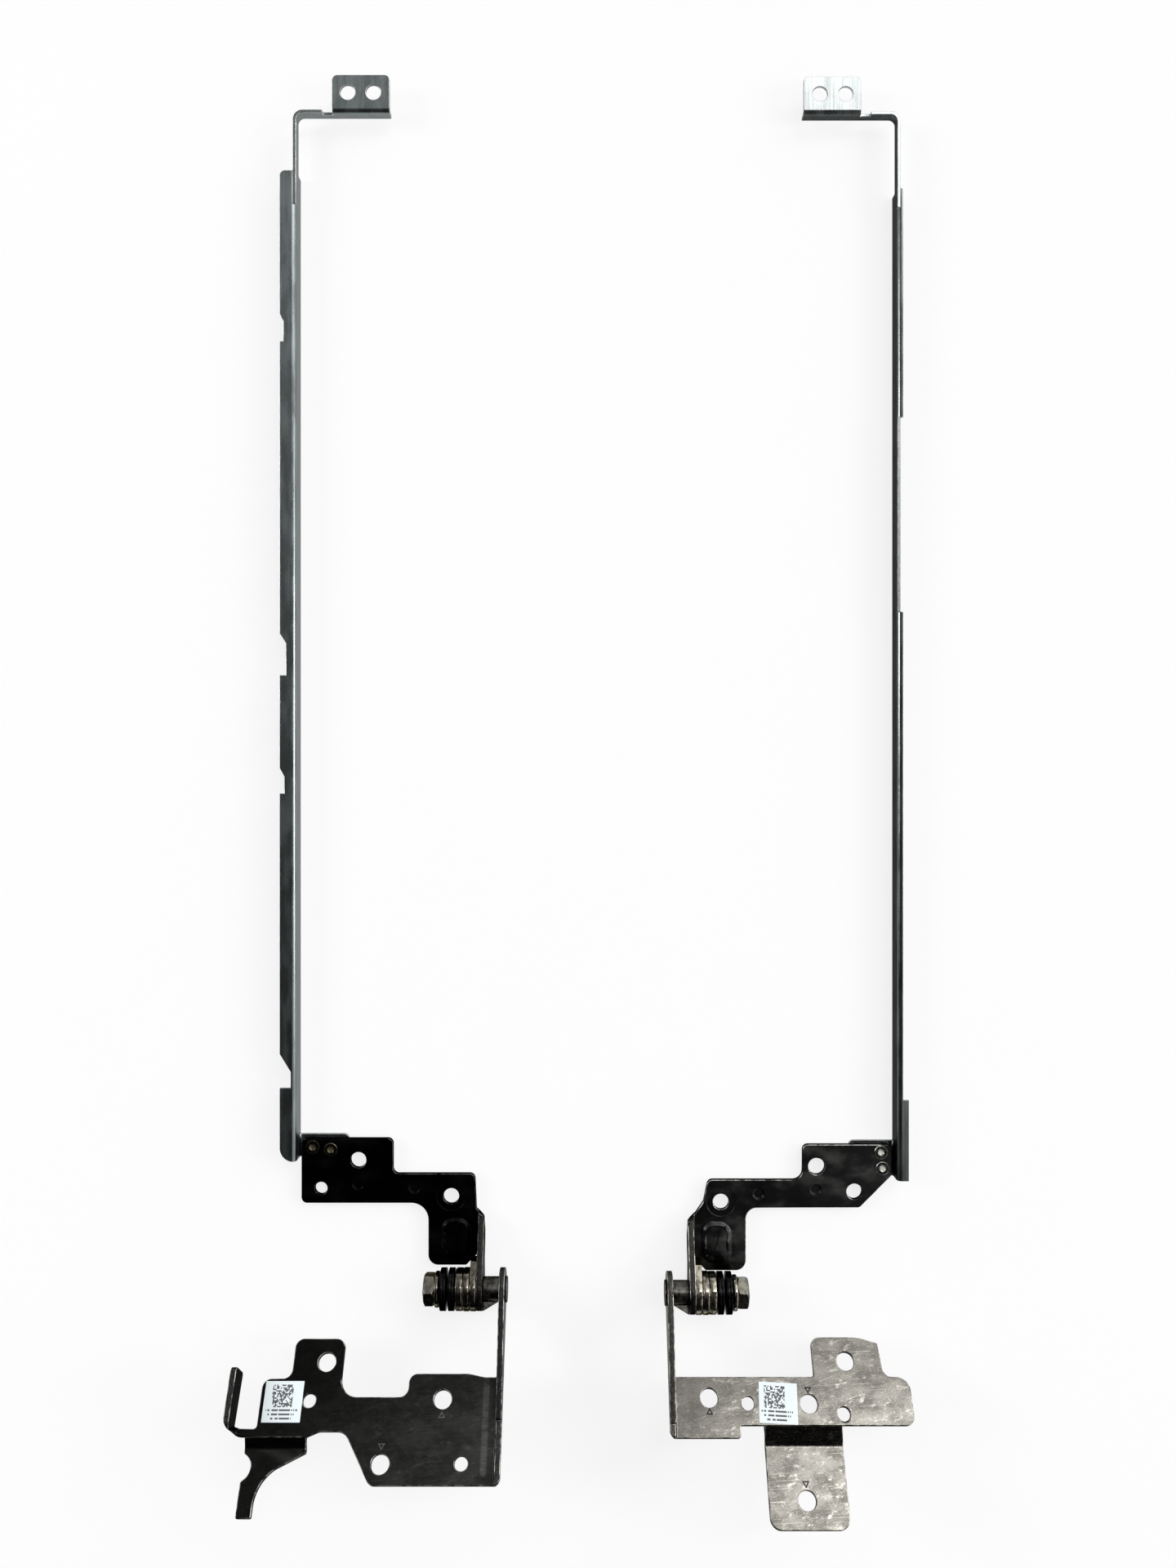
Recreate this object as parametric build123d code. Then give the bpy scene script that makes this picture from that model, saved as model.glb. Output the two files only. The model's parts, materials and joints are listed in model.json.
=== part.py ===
from build123d import *
import math
import os

# Laptop hinge pair, left and right hand, lying open on its screen rails.
# Each hand is drawn with x counted outward from the middle of the pair, then set on its own side.
# The lid side lies flat on z = 0, y runs up the screen, and the hinge axis runs along x at y = 0,
# until the hand is moved along y by its own small offset.

# Pose of the pair
axis_height = 5.0
open_angle = 144.0
left_arm_x = 15.7
right_arm_x = 14.95
left_hand_y = 0.25
right_hand_y = -0.45

# Screen rail, folded from thin zinc plated sheet
rail_sheet = 0.6
rail_bend = 0.3
web_height = 4.3
left_web_x = 55.8
right_web_x = 59.1
left_rail_end = 23.95
right_rail_end = 20.95
left_flange_top = 213.4
left_flange_width = 3.1
left_flange_corner = 2.6
right_lip_width = 1.1
right_end_lip_width = 2.2
right_end_lip_top = 36.45
right_lip_break = 129.75
right_lip_resume = 166.95
right_lip_top = 210.65
neck_start = 207.0
neck_height = 2.4
neck_bend = 1.2

# Screen tab at the top of each rail
left_seat_y = 225.0
right_seat_y = 225.35
tab_length = 6.6
tab_near = 6.9
tab_far = 17.9
tab_corner = 1.0
tab_hole = 2.9
tab_hole_near = 9.9
tab_hole_pitch = 4.9
tab_hole_margin = 3.3
relief_width = 1.9
relief_depth = 1.0

# Notches down the outer edge of the left flange, each with a sloped upper side
notch_1_top = 185.95
notch_1_bottom = 180.75
notch_1_depth = 0.7
notch_1_ramp = 1.5
notch_2_top = 124.95
notch_2_bottom = 116.95
notch_2_depth = 1.2
notch_2_ramp = 1.9
notch_3_top = 99.15
notch_3_bottom = 94.35
notch_3_depth = 0.9
notch_3_ramp = 1.6
notch_4_top = 44.55
notch_4_bottom = 38.05
notch_4_depth = 2.1
notch_4_ramp = 3.4

# Foot of the rail, riveted under the lid bracket
left_foot_reach = 9.5
left_foot_top = 28.35
right_foot_reach = 8.6
right_foot_top = 27.8
foot_fold_rise = 0.8
rivet_shank = 1.6
rivet_head = 2.6
rivet_head_height = 0.3
rivet_dimple = 1.1
rivet_clearance = 0.03
left_rivets = [(53.1, 26.15), (49.6, 25.65)]
right_rivets = [(56.5, 25.85), (56.8, 22.75)]

# Flat left beside each fold before a sheet's outline starts
fold_land = 0.1

# Lid bracket, folded from black steel
lid_sheet = 1.2
lid_gap = 0.5
lid_corner = 1.1
lid_bend = 0.3
left_leg_width = 10.9
right_leg_width = 11.3
leg_corner = 1.9
lid_slant = 1.3
leg_cut = 2.0
left_lid_top = 27.75
left_lid_shoulder = 20.95
left_lid_waist = 15.3
left_leg_end = 3.35
left_lid_step_x = 37.6
left_lid_slope = 0.3
left_arm_root = 12.85
right_lid_top = 27.25
right_lid_shoulder = 20.45
right_lid_waist = 15.1
right_leg_end = 3.0
right_lid_step_x = 41.4
right_lid_step_radius = 1.9
right_lid_neck = 2.4
right_lid_neck_slope = 0.9
right_arm_root = 12.7
right_lid_bevel = 6.2
left_waist_radius = 3.3
right_waist_radius = 2.3
lid_arm_rise = 0.6
left_lid_holes = [(44.3, 23.6, 3.0), (51.5, 18.15, 2.4), (26.4, 16.6, 3.0)]
right_lid_holes = [(44.1, 23.05, 3.2), (51.4, 18.2, 3.0), (25.65, 16.2, 3.0)]
left_lid_dimples = [(44.4, 18.9), (33.5, 18.2)]
right_lid_dimples = [(43.9, 18.6), (32.9, 17.75)]
dimple_diameter = 2.0
dimple_depth = 0.4
seat_diameter = 5.6
seat_depth = 0.15
rib_width = 5.6
rib_margin = 1.6
rib_height = 0.5
rib_top = 12.4
rib_slope = 45.0

# Base bracket, folded from bare steel; t is counted from the axis along the plate
base_sheet = 1.1
base_drop = 5.0
base_bend = 0.4
base_corner = 1.6
base_small_corner = 0.6
base_sharp_corner = 0.3
base_wide_corner = 2.4
base_wider_corner = 3.2
base_slant = 0.8
base_end_corner = 1.1
arm_rise = 2.4
arm_reach = 22.0
arm_lip = 1.0
lobe_radius = 3.9
base_hole = 3.3
pin_hole = 2.4
joggle_bend = 0.8

# Left base bracket
left_plate_top = 13.9
left_plate_end = 32.45
left_relief_width = 2.0
left_relief_slope = 3.0
left_relief_depth = 0.6
left_bay_inner_x = 33.4
left_bay_outer_x = 46.0
left_bay_depth = 17.9
left_tab_top = 7.75
left_tab_outer_x = 55.4
left_wing_top = 14.75
left_wing_x = 60.65
left_wing_end = 24.6
left_waist_x = 44.5
left_waist_slope = 2.2
left_waist_end = 23.7
left_foot_x = 39.2
hook_strip = 1.4
hook_face_x = 64.5
hook_height = 5.5
hook_top = 13.7
hook_corner = 2.0
hook_end_corner = 1.0
hook_plan_corner = 2.4
horn_near_x = 51.4
horn_far_x = 62.6
horn_run = 1.6
horn_drop = 1.4
horn_width = 2.75
horn_slope = 26.0
horn_neck_depth = 3.3
horn_neck_run = 2.3
horn_finger = 5.8
horn_inner_radius = 7.0
left_base_holes = [(49.1, 11.9), (26.9, 18.3), (37.5, 29.0)]
left_pin_holes = [(22.9, 28.9), (51.6, 18.5)]

# Right base bracket
right_plate_top = 13.8
right_plate_end = 24.15
right_foot_x = 28.0
right_waist_end = 22.05
right_tab_inner_x = 42.3
right_tab_outer_x = 55.4
right_tab_top = 6.85
right_tab_slope = 0.5
right_tab_cut = 3.4
right_tab_cut_t = 1.1
right_tab_arch = 15.0
right_wing_x = 60.1
tongue_inner_x = 32.45
tongue_outer_x = 46.7
tongue_run = 3.1
tongue_drop = 2.0
tongue_tip = 38.55
tongue_corner = 2.0
right_base_holes = [(22.45, 17.4), (40.9, 18.4), (48.5, 11.1)]
right_pin_holes = [(29.6, 18.3), (47.2, 20.1)]
tongue_hole = (39.3, 33.9)

# Paper label on each base bracket
label_width = 7.1
label_length = 7.0
label_thickness = 0.1
left_label = (56.4, 18.7)
right_label = (35.2, 18.3)
right_label_turn = -3.0

# Shaft and the friction stack along it
shaft_diameter = 3.0
shaft_flats = 2.4
spigot_diameter = 3.4
collar_diameter = 4.6
lug_radius = 3.9
lug_width = 70.0
lug_direction = 216.0
collar_length = 3.05
shaft_head_diameter = 4.8
shaft_head_length = 0.4
shaft_end = 0.2
running_gap = 0.05
keyed_gap = 0.04
lid_cam_thickness = 1.25
shaft_cam_thickness = 1.25
pressure_thickness = 1.4
cam_diameter = 7.9
cam_ear_reach = 1.4
cam_ear_width = 3.0
cam_ear_clearance = 0.15
pressure_diameter = 7.8
disc_count = 4
disc_diameter = 7.8
disc_thickness = 0.55
disc_dish = 0.25
lock_thickness = 0.8
lock_diameter = 6.6
nut_flats = 5.5
nut_sides = 6
nut_height = 2.1
left_nut_turn = 24.0
right_nut_turn = 13.0
nut_chamfer_angle = 30.0
edge_break = 0.15


def outline(corners):
    """Face from (x, y, corner radius) triples."""
    points = [(x, y) for x, y, _ in corners]
    radii = [radius for _, _, radius in corners]
    return make_face(FilletPolyline(*points, radius=radii, close=True))


def sheet(corners, thickness, top):
    """Flat sheet with its upper face at z = top."""
    return extrude(Pos(0, 0, top - thickness) * outline(corners), amount=thickness, dir=(0, 0, 1))


def base_sheet_piece(corners, top):
    """Flat piece of the base bracket, from corners whose y is counted towards the front."""
    return sheet([(x, -t, radius) for x, t, radius in corners], base_sheet, top)


def block(low, high):
    """Box between two corners."""
    size = [b - a for a, b in zip(low, high)]
    return Pos(*low) * Box(*size, align=(Align.MIN, Align.MIN, Align.MIN))


def along_x(face, x, length):
    """Solid from a face drawn in y and z, from x outward."""
    return extrude(Plane.YZ.offset(x) * face, amount=length, dir=(1, 0, 0))


def drill(solid, x, y, top, diameter, depth):
    """Round hole or recess sunk from z = top."""
    return solid - Pos(x, y, top) * Cylinder(diameter / 2, 2 * depth)


def same_place(first, second):
    """True where two coordinates agree to a hundredth of a millimetre."""
    return round(first - second, 2) == 0


def edges_along_y(solid, x, z):
    """Edges that run along y at the given x and z."""
    lines = solid.edges().filter_by(Axis.Y)
    return [edge for edge in lines if same_place(edge.center().X, x) and same_place(edge.center().Z, z)]


def edges_along_z(solid, x, y):
    """Edges that run along z at the given x and y."""
    lines = solid.edges().filter_by(Axis.Z)
    return [edge for edge in lines if same_place(edge.center().X, x) and same_place(edge.center().Y, y)]


def fold_edge(x, thickness, inner_bend):
    """Line where a sheet's fold to a wall at x ends and its flat begins."""
    return x + thickness + inner_bend + fold_land


def fold_strip(x, low, thickness, inner_bend, rise, near_y, far_y):
    """Rounded fold between a flat sheet and a wall at x, from the sheet's underside at z = low."""
    top = low + thickness
    flat_x = fold_edge(x, thickness, inner_bend)
    section = outline([
        (flat_x, low, 0),
        (x, low, thickness + inner_bend),
        (x, top + rise, 0),
        (x + thickness, top + rise, 0),
        (x + thickness, top, inner_bend),
        (flat_x, top, 0),
    ])
    return extrude(Plane.XZ.offset(-near_y) * section, amount=far_y - near_y, dir=(0, 1, 0))


def slanted_end(fold, from_x, to_x, start, run, low, high):
    """Fold with its end cut on the slant, from y = start at from_x to y = start + run at to_x."""
    waste = make_face(Polyline((from_x, start), (to_x, start + run), (from_x, start + run), close=True))
    return fold - extrude(Pos(0, 0, low) * waste, amount=high - low, dir=(0, 0, 1))


def corner_waste(x, y, inward, radius):
    """Flat shape between a sharp front corner at (x, y) and the round that takes its place."""
    square = Pos(x + inward * radius / 2, y + radius / 2) * Rectangle(radius, radius)
    return square - Pos(x + inward * radius, y + radius) * Circle(radius)


# Screen rails

def rail_run(web_x, width, bottom, top):
    """Stretch of rail with its flange folded outward at the upper edge of the web."""
    inner_z = web_height - rail_sheet
    section = outline([
        (web_x, 0, 0),
        (web_x, web_height, rail_bend + rail_sheet),
        (web_x + width, web_height, 0),
        (web_x + width, inner_z, 0),
        (web_x + rail_sheet, inner_z, rail_bend),
        (web_x + rail_sheet, 0, 0),
    ])
    return extrude(Plane.XZ.offset(-bottom) * section, amount=top - bottom, dir=(0, 1, 0))


def rail_top(web_x, seat_y):
    """Neck, cross web and screen tab at the top of a rail."""
    neck_z = web_height - neck_height
    cross_inner = seat_y - rail_sheet
    far_x = web_x - tab_far
    near_x = web_x - tab_near
    neck_path = outline([
        (web_x, neck_start, 0),
        (web_x, cross_inner, neck_bend),
        (near_x, cross_inner, 0),
        (near_x, seat_y, 0),
        (web_x + rail_sheet, seat_y, neck_bend + rail_sheet),
        (web_x + rail_sheet, neck_start, 0),
    ])
    neck = extrude(Pos(0, 0, neck_z) * neck_path, amount=neck_height, dir=(0, 0, 1))
    relief_low = (near_x, cross_inner, web_height - relief_depth)
    relief = block(relief_low, (near_x + relief_width, seat_y, web_height))
    tab_end = seat_y + tab_length
    tab_section = outline([
        (cross_inner, neck_z, 0),
        (cross_inner, web_height, rail_bend + rail_sheet),
        (tab_end, web_height, 0),
        (tab_end, web_height - rail_sheet, 0),
        (seat_y, web_height - rail_sheet, rail_bend),
        (seat_y, neck_z, 0),
    ])
    tab = along_x(tab_section, far_x, tab_far - tab_near)
    tab = fillet(edges_along_z(tab, far_x, tab_end) + edges_along_z(tab, near_x, tab_end), tab_corner)
    hole_y = seat_y + tab_hole_margin
    for step in range(2):
        hole_x = web_x - tab_hole_near - step * tab_hole_pitch
        tab = drill(tab, hole_x, hole_y, web_height, tab_hole, 2 * rail_sheet)
    return neck - relief + tab


def add_foot(rail, web_x, reach, bottom, top, rivets):
    """Rail with a foot folded inward at the lower edge of its web, with the foot's rivet holes."""
    outer_x = web_x + rail_sheet
    fold_top = rail_sheet + rail_bend + foot_fold_rise
    section = outline([
        (web_x - reach, 0, 0),
        (outer_x, 0, rail_bend + rail_sheet),
        (outer_x, fold_top, 0),
        (web_x, fold_top, 0),
        (web_x, rail_sheet, rail_bend),
        (web_x - reach, rail_sheet, 0),
    ])
    foot = extrude(Plane.XZ.offset(-bottom) * section, amount=top - bottom, dir=(0, 1, 0))
    foot = fillet(edges_along_z(foot, web_x - reach, top), tab_corner)
    for x, y in rivets:
        foot = drill(foot, x, y, rail_sheet, rivet_shank + 2 * rivet_clearance, 2 * rail_sheet)
    return rail - block((web_x, bottom, 0), (outer_x, top, fold_top)) + foot


def web_strip(web_x, bottom, top):
    """Bare stretch of web with no flange."""
    return block((web_x, bottom, 0), (web_x + rail_sheet, top, web_height))


def left_rail():
    outer = left_web_x + left_flange_width
    run = rail_run(left_web_x, left_flange_width, left_rail_end, left_flange_top)
    run = fillet(edges_along_z(run, outer, left_rail_end), left_flange_corner)
    run = fillet(edges_along_z(run, outer, left_flange_top), tab_corner)
    notches = [
        (notch_1_top, notch_1_bottom, notch_1_depth, notch_1_ramp),
        (notch_2_top, notch_2_bottom, notch_2_depth, notch_2_ramp),
        (notch_3_top, notch_3_bottom, notch_3_depth, notch_3_ramp),
        (notch_4_top, notch_4_bottom, notch_4_depth, notch_4_ramp),
    ]
    for top, bottom, depth, ramp in notches:
        gap = [(outer, top), (outer - depth, top - ramp), (outer - depth, bottom), (outer, bottom)]
        run -= extrude(make_face(Polyline(*gap, close=True)), amount=web_height, dir=(0, 0, 1))
    rail = run + rail_top(left_web_x, left_seat_y)
    return add_foot(rail, left_web_x, left_foot_reach, left_rail_end, left_foot_top, left_rivets)


def right_rail():
    lips = [
        rail_run(right_web_x, right_end_lip_width, right_rail_end, right_end_lip_top),
        rail_run(right_web_x, right_lip_width, right_end_lip_top, right_lip_break),
        rail_run(right_web_x, right_lip_width, right_lip_resume, right_lip_top),
    ]
    bare = web_strip(right_web_x, right_lip_break, right_lip_resume)
    rail = rail_top(right_web_x, right_seat_y) + bare
    for lip in lips:
        rail += lip
    return add_foot(rail, right_web_x, right_foot_reach, right_rail_end, right_foot_top, right_rivets)


def rivets(places):
    """Rivets through the foot and the bracket, with a dimpled head on the bracket."""
    grip = rail_sheet + lid_sheet
    group = []
    for x, y in places:
        shank = Pos(x, y, 0) * Cylinder(rivet_shank / 2, grip, align=(Align.CENTER, Align.CENTER, Align.MIN))
        head = Cylinder(rivet_head / 2, rivet_head_height, align=(Align.CENTER, Align.CENTER, Align.MIN))
        rivet = shank + Pos(x, y, grip) * head
        rivet = drill(rivet, x, y, grip + rivet_head_height, rivet_dimple, rivet_head_height)
        group.append(rivet)
    return Compound(children=group)


# Lid brackets

def lid_arm_x(arm_x):
    """Inner face of the lid arm, outboard of the base arm and the shaft's collar."""
    return arm_x + base_sheet + collar_length + running_gap


def rib_step(x, y, low, length):
    """Form pressed up for the stiffening rib, with sloped sides, from z = low."""
    inset = rib_height / math.tan(math.radians(rib_slope))
    radius = rib_width / 2 - rib_height
    foot = RectangleRounded(rib_width, length, radius)
    crest = RectangleRounded(rib_width - 2 * inset, length - 2 * inset, radius - inset)
    return loft([Pos(x, y, low) * foot, Pos(x, y, low + rib_height) * crest])


def lid_bracket(corners, arm_x, leg_end, arm_root, holes, dimples, rivet_places):
    """Bracket from its flat outline, with its arm folded up round the shaft."""
    low = rail_sheet
    top = rail_sheet + lid_sheet
    inner_x = lid_arm_x(arm_x)
    plate = sheet(corners, lid_sheet, top)
    rib_x = inner_x + lid_sheet + rib_margin + rib_width / 2
    rib_low = leg_end + rib_margin
    rib_length = rib_top - rib_low
    rib_y = rib_low + rib_length / 2
    plate = plate + rib_step(rib_x, rib_y, top, rib_length) - rib_step(rib_x, rib_y, low, rib_length)
    lobe = Pos(0, axis_height) * Circle(lobe_radius)
    arm_start = leg_end + leg_cut
    root = Pos((arm_start + arm_root) / 2, top + lid_bend + lid_arm_rise / 2)
    root *= Rectangle(arm_root - arm_start, lid_arm_rise)
    arm = along_x(make_hull(lobe.edges() + root.edges()), inner_x, lid_sheet)
    fold_rise = lid_bend + lid_arm_rise
    flat_x = fold_edge(inner_x, lid_sheet, lid_bend)
    fold = fold_strip(inner_x, low, lid_sheet, lid_bend, fold_rise, arm_start, arm_root + lid_slant)
    fold = slanted_end(fold, inner_x, flat_x, arm_root, lid_slant, low, top + fold_rise)
    bracket = plate + fold + arm
    bore = Rot(0, 90, 0) * Cylinder(shaft_diameter / 2 + running_gap, 4 * lid_sheet)
    bracket -= Pos(inner_x, 0, axis_height) * bore
    seat_x, seat_y, _ = holes[-1]
    bracket = drill(bracket, seat_x, seat_y, top, seat_diameter, seat_depth)
    for x, y, diameter in holes:
        bracket = drill(bracket, x, y, top, diameter, 2 * lid_sheet)
    for x, y in dimples:
        boss = Cylinder(dimple_diameter / 2, dimple_depth, align=(Align.CENTER, Align.CENTER, Align.MAX))
        bracket += Pos(x, y, low) * boss
        bracket = drill(bracket, x, y, top, dimple_diameter, dimple_depth)
    for x, y in rivet_places:
        bracket = drill(bracket, x, y, top, rivet_shank + 2 * rivet_clearance, 2 * lid_sheet)
    return bracket


def left_lid_bracket():
    edge_x = left_web_x - lid_gap
    inner_x = lid_arm_x(left_arm_x)
    fold_x = fold_edge(inner_x, lid_sheet, lid_bend)
    leg_x = inner_x + left_leg_width
    corners = [
        (edge_x, left_lid_top, lid_corner),
        (left_lid_step_x, left_lid_top, lid_corner),
        (left_lid_step_x, left_lid_shoulder, lid_corner),
        (fold_x + left_lid_slope, left_lid_shoulder, lid_corner),
        (fold_x, left_arm_root + lid_slant, 0),
        (fold_x, left_leg_end + leg_cut, 0),
        (fold_x + leg_cut, left_leg_end, 0),
        (leg_x, left_leg_end, leg_corner),
        (leg_x, left_lid_waist, left_waist_radius),
        (edge_x, left_lid_waist, lid_corner),
    ]
    return lid_bracket(corners, left_arm_x, left_leg_end, left_arm_root,
                       left_lid_holes, left_lid_dimples, left_rivets)


def right_lid_bracket():
    edge_x = right_web_x - lid_gap
    inner_x = lid_arm_x(right_arm_x)
    fold_x = fold_edge(inner_x, lid_sheet, lid_bend)
    leg_x = inner_x + right_leg_width
    corners = [
        (edge_x, right_lid_top, lid_corner),
        (right_lid_step_x, right_lid_top, lid_corner),
        (right_lid_step_x, right_lid_shoulder, right_lid_step_radius),
        (fold_x + right_lid_neck, right_lid_shoulder, lid_corner),
        (fold_x + right_lid_neck - right_lid_neck_slope, right_lid_waist + lid_corner, lid_corner),
        (fold_x, right_arm_root + lid_slant, 0),
        (fold_x, right_leg_end + leg_cut, 0),
        (fold_x + leg_cut, right_leg_end, 0),
        (leg_x, right_leg_end, leg_corner),
        (leg_x, right_lid_waist, right_waist_radius),
        (edge_x - right_lid_bevel, right_lid_waist, lid_corner),
        (edge_x, right_lid_waist + right_lid_bevel, lid_corner),
    ]
    return lid_bracket(corners, right_arm_x, right_leg_end, right_arm_root,
                       right_lid_holes, right_lid_dimples, right_rivets)


# Base brackets, drawn about the hinge axis as if the hinge were open flat

def joggle(near_x, far_x, start, run, drop):
    """Sloped step from the plate's level at t = start down to the level of a lowered piece."""
    top = -base_drop
    low = top - drop
    flat = joggle_bend
    upper = [(-start + flat, top, 0), (-start, top, joggle_bend), (-start - run, low, joggle_bend),
             (-start - run - flat, low, 0)]
    lower = [(y, z - base_sheet, radius) for y, z, radius in reversed(upper)]
    return along_x(outline(upper + lower), near_x, far_x - near_x)


def base_arm(arm_x, plate_top, plate_end):
    """Arm folded up along the plate's inner edge, with its lobe round the shaft."""
    low = -base_drop - base_sheet
    lobe = Circle(lobe_radius)
    root = Pos(-(plate_top + arm_reach) / 2, base_bend - base_drop + arm_rise / 2)
    root *= Rectangle(arm_reach - plate_top, arm_rise)
    arm = along_x(make_hull(lobe.edges() + root.edges()), arm_x, base_sheet)
    flat_x = fold_edge(arm_x, base_sheet, base_bend)
    lip_rise = base_bend + arm_lip
    lip_top = lip_rise - base_drop
    fold = fold_strip(arm_x, low, base_sheet, base_bend, lip_rise, -plate_end, base_slant - plate_top)
    fold = slanted_end(fold, flat_x, arm_x, -plate_top, base_slant, low, lip_top)
    waste = Pos(0, 0, low) * corner_waste(arm_x, -plate_end, 1, base_end_corner)
    arm += fold - extrude(waste, amount=lip_top - low, dir=(0, 0, 1))
    bore = Rot(0, 90, 0) * Cylinder(spigot_diameter / 2 + keyed_gap, 4 * base_sheet)
    return arm - Pos(arm_x, 0, 0) * bore


def left_base_plate():
    top = -base_drop
    fold_x = fold_edge(left_arm_x, base_sheet, base_bend)
    relief_t = left_plate_top + left_relief_depth
    relief_x = fold_x + left_relief_width
    strip_top = left_wing_end - hook_strip
    hook_x = hook_face_x + base_sheet
    plate = base_sheet_piece([
        (fold_x, relief_t, 0),
        (relief_x, relief_t, base_wider_corner),
        (relief_x + left_relief_slope, left_plate_top, base_wider_corner),
        (left_bay_inner_x, left_plate_top, base_corner),
        (left_bay_inner_x, left_bay_depth, base_corner),
        (left_bay_outer_x, left_bay_depth, base_wider_corner),
        (left_bay_outer_x, left_tab_top, base_corner),
        (left_tab_outer_x, left_tab_top, base_corner),
        (left_tab_outer_x, left_wing_top, base_corner),
        (left_wing_x, left_wing_top, base_corner),
        (left_wing_x, strip_top, base_small_corner),
        (hook_x, strip_top, 0),
        (hook_x, left_wing_end, 0),
        (horn_near_x, left_wing_end, 0),
        (horn_near_x - left_waist_slope, left_waist_end, base_corner),
        (left_waist_x, left_waist_end, base_wide_corner),
        (left_foot_x, left_plate_end, base_corner),
        (fold_x, left_plate_end, 0),
    ], top)
    hook = outline([
        (-left_wing_end, top - base_sheet, 0),
        (-left_wing_end, top + hook_height, hook_corner),
        (-hook_top, top + hook_height, hook_end_corner),
        (-hook_top, top, base_small_corner),
        (-strip_top, top, 0),
        (-strip_top, top - base_sheet, 0),
    ])
    plate += along_x(hook, hook_face_x, base_sheet)
    horn_start = left_wing_end + horn_run
    horn_inner_x = horn_far_x - horn_width
    horn_slope_t = horn_start + joggle_bend
    horn_bend_t = horn_slope_t + (horn_inner_x - horn_near_x) * math.tan(math.radians(horn_slope))
    horn_neck_t = horn_slope_t + horn_neck_run
    horn_waist_t = horn_neck_t + horn_neck_run
    horn_tip = horn_waist_t + horn_finger
    horn = base_sheet_piece([
        (horn_near_x, horn_start, 0),
        (horn_near_x, horn_slope_t, base_sharp_corner),
        (horn_inner_x, horn_bend_t, horn_inner_radius),
        (horn_inner_x, horn_tip, base_sharp_corner),
        (horn_far_x, horn_tip, base_sharp_corner),
        (horn_far_x, horn_waist_t, base_small_corner),
        (horn_far_x - horn_neck_depth, horn_neck_t, base_wide_corner),
        (horn_far_x, horn_slope_t, 0),
        (horn_far_x, horn_start, 0),
    ], top - horn_drop)
    plate += joggle(horn_near_x, horn_far_x, left_wing_end, horn_run, horn_drop)
    plate += horn
    bracket = plate + base_arm(left_arm_x, relief_t, left_plate_end)
    bracket = fillet(edges_along_y(bracket, hook_x, top - base_sheet), base_small_corner)
    waste = Pos(0, 0, top - base_sheet) * corner_waste(hook_x, -left_wing_end, -1, hook_plan_corner)
    bracket -= extrude(waste, amount=base_sheet + hook_height, dir=(0, 0, 1))
    for x, t in left_base_holes:
        bracket = drill(bracket, x, -t, top, base_hole, 2 * base_sheet)
    for x, t in left_pin_holes:
        bracket = drill(bracket, x, -t, top, pin_hole, 2 * base_sheet)
    return bracket


def right_base_plate():
    top = -base_drop
    fold_x = fold_edge(right_arm_x, base_sheet, base_bend)
    plate = base_sheet_piece([
        (fold_x, right_plate_top, 0),
        (right_tab_inner_x, right_plate_top, base_small_corner),
        (right_tab_inner_x, right_tab_top, base_corner),
        (right_tab_outer_x - right_tab_slope - right_tab_cut, right_tab_top, right_tab_arch),
        (right_tab_outer_x - right_tab_slope, right_tab_top + right_tab_cut_t, base_sharp_corner),
        (right_tab_outer_x, right_plate_top, base_corner),
        (right_wing_x, right_plate_top, base_wide_corner),
        (right_wing_x, right_waist_end, base_corner),
        (right_foot_x, right_waist_end, base_sharp_corner),
        (right_foot_x, right_plate_end, base_small_corner),
        (fold_x, right_plate_end, 0),
    ], top)
    tongue_start = right_waist_end + tongue_run
    tongue = base_sheet_piece([
        (tongue_inner_x, tongue_start, 0),
        (tongue_outer_x, tongue_start, 0),
        (tongue_outer_x, tongue_tip, tongue_corner),
        (tongue_inner_x, tongue_tip, tongue_corner),
    ], top - tongue_drop)
    plate += joggle(tongue_inner_x, tongue_outer_x, right_waist_end, tongue_run, tongue_drop)
    plate += tongue
    bracket = plate + base_arm(right_arm_x, right_plate_top, right_plate_end)
    for x, t in right_base_holes:
        bracket = drill(bracket, x, -t, top, base_hole, 2 * base_sheet)
    for x, t in right_pin_holes:
        bracket = drill(bracket, x, -t, top, pin_hole, 2 * base_sheet)
    x, t = tongue_hole
    return drill(bracket, x, -t, top - tongue_drop, base_hole, 2 * base_sheet)


def paper_label(place, turn):
    """Thin sticker lying on the base plate."""
    x, t = place
    body = Box(label_width, label_length, label_thickness, align=(Align.CENTER, Align.CENTER, Align.MIN))
    return Pos(x, -t, -base_drop) * Rot(0, 0, turn) * body


# Shaft and friction stack, drawn about the hinge axis

def key_shape(gap):
    """Round section with two flats, grown by a gap."""
    flats = Rectangle(2 * shaft_diameter, shaft_flats + 2 * gap)
    return Circle(shaft_diameter / 2 + gap) & flats


def broken_edges(solid):
    """Break the sharp rims of a turned piece."""
    rims = [edge for edge in solid.edges() if edge.geom_type == GeomType.CIRCLE]
    widest = max(edge.radius for edge in rims)
    return chamfer([edge for edge in rims if same_place(edge.radius, widest)], edge_break)


def washer(x, thickness, diameter, hole):
    """Flat washer with the given hole shape."""
    return broken_edges(along_x(Circle(diameter / 2), x, thickness)) - along_x(hole, x, thickness)


def spring_disc(x, facing):
    """Dished spring disc, with its rim towards +x when facing is 1 and towards -x when it is -1."""
    bore = shaft_diameter / 2 + running_gap
    rim = disc_diameter / 2
    lift = disc_dish if facing > 0 else 0
    drop = disc_dish - lift
    profile = make_face(Polyline((x + drop, bore), (x + lift, rim), (x + lift + disc_thickness, rim),
                                 (x + drop + disc_thickness, bore), close=True))
    return revolve(profile, axis=Axis.X)


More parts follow.
